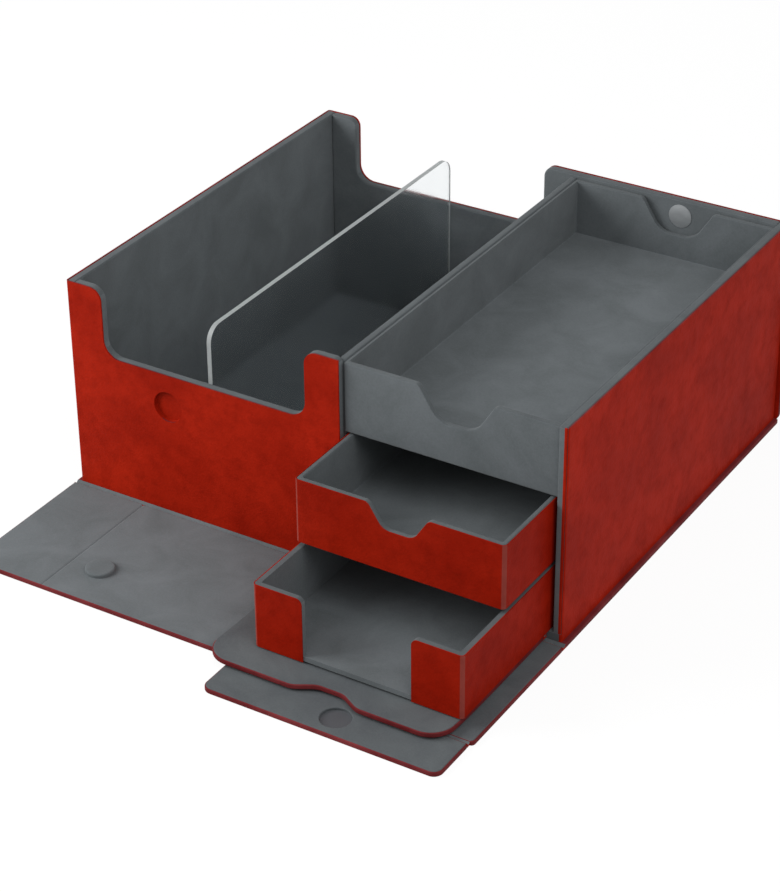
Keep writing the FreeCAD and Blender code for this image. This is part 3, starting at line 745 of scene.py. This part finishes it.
def make_left_flap():
    """Flap in front of the card bay, with its crease and its magnet button."""
    low, high = limits("left_flap_cover")
    top = limits("left_flap_lining")[1].z
    corners = [(low.x, low.y, PANEL_CORNER_R), (high.x, low.y, 0), (high.x, high.y, 0), (low.x, high.y, 0)]
    cover, lining = make_panel("left_flap", corners, low.z, top, ROOT, RIGHT_SIDE)
    crease_x = LEFT + CREASE_X
    activate(lining)
    bpy.ops.object.mode_set(mode="EDIT")
    for offset in (-CREASE_HALF_W, 0, CREASE_HALF_W):
        slice_all((crease_x + offset, 0, 0), (1, 0, 0))
    choose(lining, "VERT", lambda middle, normal: abs(middle.x - crease_x) < NEAR and middle.z > top - NEAR)
    bpy.ops.transform.translate(value=(0, 0, -CREASE_DEPTH * MM))
    bpy.ops.object.mode_set(mode="OBJECT")
    finish_panel("left_flap", cover, lining, "left_flap", grey)
    middle = (button_low + button_high) / 2
    button = round_plate("flap_button", BUTTON_D / 2, button_high.z - button_low.z, middle)
    bpy.ops.object.mode_set(mode="EDIT")
    choose(button, "FACE", lambda middle, normal: normal.z > ALONG)
    bpy.ops.mesh.inset(thickness=BUTTON_SLOPE_W * MM)
    bpy.ops.transform.translate(value=(0, 0, BUTTON_DOME * MM))
    bpy.ops.object.mode_set(mode="OBJECT")
    round_edges(button, BUTTON_EDGE_R, EDGE_SEGMENTS, lambda at, along: abs(at.z - button_high.z) < NEAR
                and (at - middle).xy.length > BUTTON_D / 2 - BUTTON_EDGE_REACH)
    dress(button, "left_flap", ["left_flap_button", "left_flap_magnet"], "grey_lining", grey)
    make_gutter("left_flap_gutter", "left_flap_hinge", top, ["case", "left_flap"])


def make_right_flap():
    """Outer flap in front of the drawer bay, and the closure tongue with its magnet."""
    low, high = limits("right_flap_cover")
    top = limits("right_flap_lining")[1].z
    # The two flaps meet edge to edge, so no floor shows between them
    seam_x = limits("left_flap_cover")[1].x + NEAR
    corners = [
        (seam_x, low.y, 0),
        (high.x, low.y, RIGHT_FLAP_CORNER_R),
        (high.x, high.y, 0),
        (seam_x, high.y, 0),
    ]
    cover, lining = make_panel("right_flap", corners, low.z, top, ROOT, LEFT_SIDE)
    # The right flap's lining takes the darker grey: painted shade
    finish_panel("right_flap", cover, lining, "case", shaded_grey)
    make_gutter("right_flap_gutter", "right_flap_hinge", top, ["case"], start_x=seam_x)

    low, high = limits("tongue_cover")
    corners = [
        (low.x, low.y, TONGUE_CORNER_R),
        (high.x, low.y, TONGUE_CORNER_R),
        (high.x, high.y, 0),
        (low.x, high.y, 0),
    ]
    cover, lining = make_panel("tongue", corners, low.z, top, ROOT)
    magnet_low, magnet_high = limits("tongue_magnet")
    middle = (magnet_low + magnet_high) / 2
    radius = (magnet_high.x - magnet_low.x) / 2
    for piece in (cover, lining):
        cut(piece, round_plate("magnet_hole", radius, 2 * (top - magnet_low.z), (middle.x, middle.y, top)))
    # The tongue's lining takes the darker grey: painted shade, as under the door's edge
    finish_panel("tongue", cover, lining, "case", shaded_grey)
    # The magnet hole's wall takes the darker grey: painted shade in the dish
    cover.data.materials.append(shaded_grey)
    paint(cover, 2, lambda at, normal: (at - middle).xy.length < radius + NEAR)
    magnet = round_plate("tongue_magnet_disc", radius, magnet_high.z - magnet_low.z, middle)
    bpy.ops.object.mode_set(mode="EDIT")
    choose(magnet, "FACE", lambda at, normal: normal.z > ALONG)
    bpy.ops.mesh.inset(thickness=MAGNET_RIM_W * MM)
    bpy.ops.transform.translate(value=(0, 0, -MAGNET_DISH * MM))
    bpy.ops.object.mode_set(mode="OBJECT")
    soften(magnet, FINE_EDGE_R, FINE_SEGMENTS)
    # The magnet takes the darker steel: painted shade
    dress(magnet, "case", ["tongue_magnet"], "steel", shaded_steel)
    make_gutter("tongue_gutter", "tongue_hinge", top, ["case"], PANEL_RIM)


def lift_free_edge(piece, root_y, end_y, lift):
    """Bows a panel a little, so that its free edge stands off what it lies on."""
    activate(piece)
    bpy.ops.object.mode_set(mode="EDIT")
    for step in range(DOOR_STEPS):
        y = root_y + (end_y - root_y) * (step + 0.5) / DOOR_STEPS
        slice_all((0, y, 0), (0, 1, 0))
        choose(piece, "VERT", lambda middle, normal: middle.y < y - NEAR)
        rise = lift * (2 * step + 1) / DOOR_STEPS ** 2
        bpy.ops.transform.translate(value=(0, 0, rise * MM))
    bpy.ops.object.mode_set(mode="OBJECT")


def make_drawer_door():
    """Inner flap with a thumb notch, lying on the right flap."""
    low, high = limits("drawer_door_cover")
    top = limits("drawer_door_lining")[1].z
    corners = [
        (low.x, low.y, DOOR_CORNER_R),
        *notch((low.x + high.x) / 2 + DOOR_NOTCH_OFFSET, low.y, 1, DOOR_NOTCH),
        (high.x, low.y, DOOR_CORNER_R),
        (high.x, high.y, 0),
        (low.x, high.y, 0),
    ]
    cover, lining = make_panel("drawer_door", corners, low.z, top, ROOT, LEFT_SIDE)
    for piece in (cover, lining):
        lift_free_edge(piece, high.y, low.y + DOOR_CORNER_R, DOOR_LIFT)
    # The door's lining takes the darker grey: painted shade
    finish_panel("drawer_door", cover, lining, "case", shaded_grey)
    make_gutter("drawer_door_gutter", "drawer_door_hinge", top, ["case"])


# Drawers and tray
def open_box(name, low, high, wall, floor):
    """Box hollowed from above."""
    obj = block(name, low, high)
    bpy.ops.object.mode_set(mode="EDIT")
    choose(obj, "FACE", lambda middle, normal: normal.z > ALONG)
    bpy.ops.mesh.inset(thickness=wall * MM)
    sink = (low.z + floor - high.z) * MM
    bpy.ops.mesh.extrude_region_move(TRANSFORM_OT_translate={"value": (0, 0, sink)})
    bpy.ops.object.mode_set(mode="OBJECT")
    return obj


def drawer_opening(name, low, high, wall, corners_between):
    """Cutter for what a drawer's front leaves open."""
    above = high.z + wall
    corners = [
        (low.x + wall, above, 0),
        (low.x + wall, high.z, 0),
        *corners_between,
        (high.x - wall, high.z, 0),
        (high.x - wall, above, 0),
    ]
    return plate(name, corners, facing_front(low.y - wall), (0, 2 * wall + OVERSHOOT, 0))


def make_drawer(name, wrap_corners, lining_corners):
    """Drawer: boards in their grey lining, in a red wrap, with an opening in the front."""
    low, high = limits(name + "_skin")
    board_low, board_high = limits(name + "_floor")
    skin_t = board_low.x - low.x
    cavity_z = limits(name + "_lining")[0].z + DRAWER_LINING_T
    wall = cavity_z - low.z
    wrap = block(name + "_wrap", low, high)
    round_edges(wrap, DRAWER_CORNER_R, CORNER_SEGMENTS, lambda middle, along: abs(along.z) > ALONG)
    bpy.ops.object.mode_set(mode="EDIT")
    choose(wrap, "FACE", lambda middle, normal: normal.z > ALONG)
    bpy.ops.mesh.delete(type="FACE")
    bpy.ops.object.mode_set(mode="OBJECT")
    apply_modifier(wrap, "SOLIDIFY", thickness=skin_t * MM, offset=-1.0, use_even_offset=True)
    cut(wrap, drawer_opening("front_opening", low, high, wall, wrap_corners))
    soften(wrap, FINE_EDGE_R, FINE_SEGMENTS, edge_slot=1)
    # The two front corners are painted pale: a painted highlight on their rounding, with some rubbed wear
    paint(wrap, 2, lambda middle, normal: normal.y < -TURNED and abs(normal.x) > TURNED)
    # The wrap takes the darker red: painted shade
    dress(wrap, name, [name + "_skin"], "red_leatherette", shaded_drawer_red, edge_red, highlit_worn_red)

    board_high.z = high.z
    inside = open_box(name + "_lined", board_low, board_high, wall - skin_t, cavity_z - board_low.z)
    round_edges(inside, DRAWER_CORNER_R - skin_t, INNER_CORNER_SEGMENTS,
                lambda middle, along: abs(along.z) > ALONG
                and (abs(middle.x - board_low.x) < NEAR or abs(middle.x - board_high.x) < NEAR))
    cut(inside, drawer_opening("front_opening", low, high, wall, lining_corners))
    soften(inside, DRAWER_RIM_R)
    nodes = [name + "_" + piece for piece in ("floor", "sides", "front", "back", "lining")]
    dress_lined(inside, name, nodes, DRAWER_NOTCH[NOTCH_DEPTH])


def slot_corners(low, high, slot_z):
    """Open middle of the lower drawer's front, between its two wings."""
    return [
        (low.x + WING_W, high.z, WING_R),
        (low.x + WING_W, slot_z, 0),
        (high.x - WING_W, slot_z, 0),
        (high.x - WING_W, high.z, WING_R),
    ]


def make_drawers():
    """Upper drawer with a thumb notch, lower drawer with two wings and no red below the slot."""
    low, high = limits("upper_drawer_skin")
    thumb = notch((low.x + high.x) / 2, high.z, -1, DRAWER_NOTCH)
    make_drawer("upper_drawer", thumb, thumb)
    low, high = limits("lower_drawer_skin")
    slot_z = limits("lower_drawer_lining")[0].z + DRAWER_LINING_T - NEAR
    make_drawer("lower_drawer", slot_corners(low, high, low.z - OVERSHOOT), slot_corners(low, high, slot_z))


def make_tray():
    """Tray covered in grey lining, with a thumb notch at each end and an apron that hides its shelf."""
    floor_low, floor_high = limits("tray_floor")
    front_low, front_high = limits("tray_front")
    low = Vector((floor_low.x, front_low.y, floor_low.z))
    high = Vector((floor_high.x, floor_high.y, front_high.z))
    wall = front_high.y - front_low.y
    tray = open_box("tray_lined", low, high, wall, floor_high.z - floor_low.z)
    bpy.ops.object.mode_set(mode="EDIT")
    for inner_x, shift in ((low.x + wall, TRAY_SIDE_T - wall), (high.x - wall, wall - TRAY_SIDE_T)):
        choose(tray, "FACE", lambda middle, normal: abs(normal.x) > ALONG and abs(middle.x - inner_x) < NEAR)
        bpy.ops.transform.translate(value=(shift * MM, 0, 0))
    choose(tray, "FACE", lambda middle, normal: normal.z < -ALONG)
    bpy.ops.mesh.bisect(plane_co=(0, front_high.y * MM, 0), plane_no=(0, 1, 0))
    choose(tray, "FACE", lambda middle, normal: normal.z < -ALONG and middle.y < front_high.y)
    bpy.ops.mesh.extrude_region_move(TRANSFORM_OT_translate={"value": (0, 0, (front_low.z - low.z) * MM)})
    bpy.ops.object.mode_set(mode="OBJECT")
    corners = [
        (CATCH_X - TRAY_CUT_REACH, high.z + TRAY_CUT_RISE, 0),
        (CATCH_X - TRAY_CUT_REACH, high.z, 0),
        *notch(CATCH_X, high.z, -1, TRAY_NOTCH),
        (CATCH_X + TRAY_CUT_REACH, high.z, 0),
        (CATCH_X + TRAY_CUT_REACH, high.z + TRAY_CUT_RISE, 0),
    ]
    length = high.y - low.y + 2 * OVERSHOOT
    cut(tray, plate("tray_notches", corners, facing_front(low.y - OVERSHOOT), (0, length, 0)))
    soften(tray, TRAY_RIM_R)
    nodes = ["tray_floor", "tray_front", "tray_back", "tray_sides"]
    dress_lined(tray, "tray", nodes, TRAY_NOTCH[NOTCH_DEPTH])


def make_divider():
    """Clear sheet with its foot bent out of it."""
    low, high = limits("card_divider")
    corners = [
        (low.y, low.z, 0),
        (high.y, low.z, 0),
        (high.y, high.z, SHEET_TOP_R),
        (low.y, high.z, SHEET_TOP_R),
    ]
    sheet = plate("card_divider_sheet", corners, facing_side(low.x), (SHEET_T, 0, 0))
    activate(sheet)
    bpy.ops.object.mode_set(mode="EDIT")
    slice_all((0, 0, low.z + SHEET_FOOT_T), (0, 0, 1))
    choose(sheet, "FACE", lambda middle, normal: normal.x > ALONG and middle.z < low.z + SHEET_FOOT_T)
    reach = (high.x - low.x - SHEET_T) * MM
    bpy.ops.mesh.extrude_region_move(TRANSFORM_OT_translate={"value": (reach, 0, 0)})
    bpy.ops.object.mode_set(mode="OBJECT")
    round_edges(sheet, SHEET_BEND_R, EDGE_SEGMENTS, lambda middle, along: abs(along.y) > ALONG
                and abs(middle.x - low.x) < NEAR and abs(middle.z - low.z) < NEAR)
    soften(sheet, FINE_EDGE_R, FINE_SEGMENTS)
    paint(sheet, 1, lambda middle, normal: abs(normal.x) < EDGE_ON and middle.z > low.z + 2 * SHEET_FOOT_T)
    dress(sheet, "divider", ["card_divider"], "clear_sheet", clear, sawn)


make_case_wrap()
make_recess()
make_side_wall("left_wall_lined", LEFT + SKIN_T, INNER_LEFT, FRONT + SKIN_T, LEFT + SKIN_T,
               ["left_wall", "left_wall_lining"])
make_side_wall("right_wall_lined", INNER_RIGHT, RIGHT - SKIN_T, FRONT + RIGHT_WALL_GAP, RIGHT - SKIN_T,
               ["right_wall", "right_wall_lining"])
make_windowed_wall("front_wall_lined", INNER_LEFT, FRONT_WALL_END, POST_END_R, POST_R, FRONT + SKIN_T,
                   INNER_FRONT, ["front_wall", "front_wall_lining"])
make_windowed_wall("back_wall_lined", INNER_LEFT, INNER_RIGHT, 0, BACK_POST_R, INNER_BACK, BACK - SKIN_T,
                   ["back_wall", "back_wall_lining"])
make_partition()
make_stud()
make_base()
make_left_flap()
make_right_flap()
make_drawer_door()
make_drawers()
make_tray()
make_divider()

# CAD nodes that stay as they are
for node, material in (("card_floor_lining", grey), ("bay_floor_lining", grey), ("drawer_shelf", grey),
                       ("tray_shelf", grey), ("floor_board", board)):
    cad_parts[node].data.materials.clear()
    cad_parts[node].data.materials.append(material)


# Stage, in metres and watts; lights as (name, place, point aimed at, side, power)
FLOOR_SIDE = 12
FLOOR_WHITE_SHARE = 0.85
FLOOR_GLOW = 1.08
WORLD_LIGHT = 0.56
WORLD_SEEN = 1.0
LIGHTS = (
    ("key", (-0.8, -0.6, 0.55), (0, -0.08, 0.04), 0.6, 10.4),
    ("fill", (0.9, -0.5, 1.3), (0, 0, 0.05), 1.0, 10),
)


def seen_rays(tree):
    """One for rays that show the surroundings to the eye, straight, mirrored or through the clear sheet."""
    path = add(tree, "ShaderNodeLightPath").outputs
    direct = add(tree, "ShaderNodeMath", {0: path["Is Camera Ray"], 1: path["Is Glossy Ray"]},
                 operation="ADD")
    seen = add(tree, "ShaderNodeMath", {0: direct.outputs[0], 1: path["Is Transmission Ray"]},
               operation="ADD", use_clamp=True)
    return seen.outputs[0]


def make_floor():
    """Pale floor that keeps the object's shadow and shows as white."""
    bpy.ops.object.select_all(action="DESELECT")
    bpy.ops.mesh.primitive_plane_add(size=FLOOR_SIDE)
    floor = fresh("floor")
    material = bpy.data.materials.new("pale_floor")
    material.use_nodes = True
    tree = material.node_tree
    tree.nodes.clear()
    share = add(tree, "ShaderNodeMath", {0: seen_rays(tree), 1: FLOOR_WHITE_SHARE}, operation="MULTIPLY")
    matt = add(tree, "ShaderNodeBsdfDiffuse", {"Color": colour("#C8C8C8")})
    glow = add(tree, "ShaderNodeEmission", {"Color": colour("#FFFFFF"), "Strength": FLOOR_GLOW})
    mixed = add(tree, "ShaderNodeMixShader", {0: share.outputs[0], 1: matt.outputs[0], 2: glow.outputs[0]})
    add(tree, "ShaderNodeOutputMaterial", {"Surface": mixed.outputs[0]})
    floor.data.materials.append(material)


def make_light(name, place, aim, size, power):
    """Square soft light, turned towards a point."""
    light = bpy.data.lights.new(name, "AREA")
    light.size = size
    light.energy = power
    lamp = bpy.data.objects.new(name, light)
    bpy.context.scene.collection.objects.link(lamp)
    lamp.location = place
    lamp.rotation_euler = (Vector(aim) - Vector(place)).to_track_quat("-Z", "Y").to_euler()


def make_world():
    """Even pale surroundings, white where they are seen."""
    world = bpy.data.worlds.new("studio")
    bpy.context.scene.world = world
    world.use_nodes = True
    tree = world.node_tree
    background = tree.nodes["Background"]
    background.inputs["Color"].default_value = colour("#FFFFFF")
    strength = add(tree, "ShaderNodeMapRange",
                   {"Value": seen_rays(tree), "To Min": WORLD_LIGHT, "To Max": WORLD_SEEN})
    tree.links.new(strength.outputs[0], background.inputs["Strength"])


# Camera place, in millimetres again, and directions that bring the case's edges over the photograph's
VIEW_AZIMUTH = math.radians(31.60)
VIEW_ELEVATION = math.radians(31.12)
VIEW_ROLL = math.radians(-0.39)
VIEW_PLACE = Vector((546.50, -929.63, 655.03))
LENS = 103.96
SENSOR_W = 36.0


def make_camera():
    """Camera at the photograph's viewing angle."""
    back = Vector((math.sin(VIEW_AZIMUTH) * math.cos(VIEW_ELEVATION),
                   -math.cos(VIEW_AZIMUTH) * math.cos(VIEW_ELEVATION), math.sin(VIEW_ELEVATION)))
    level = Vector((0, 0, 1)).cross(back).normalized()
    turn = Matrix.Rotation(VIEW_ROLL, 3, back)
    right = turn @ level
    above = turn @ back.cross(level)
    camera = bpy.data.objects.new("camera", bpy.data.cameras.new("camera"))
    bpy.context.scene.collection.objects.link(camera)
    camera.data.lens = LENS
    camera.data.sensor_width = SENSOR_W
    axes = Matrix((right, above, back)).transposed().to_4x4()
    camera.matrix_world = Matrix.Translation(VIEW_PLACE * MM) @ axes
    bpy.context.scene.camera = camera


make_floor()
for light in LIGHTS:
    make_light(*light)
make_world()
make_camera()
bpy.context.scene.view_settings.view_transform = "Standard"
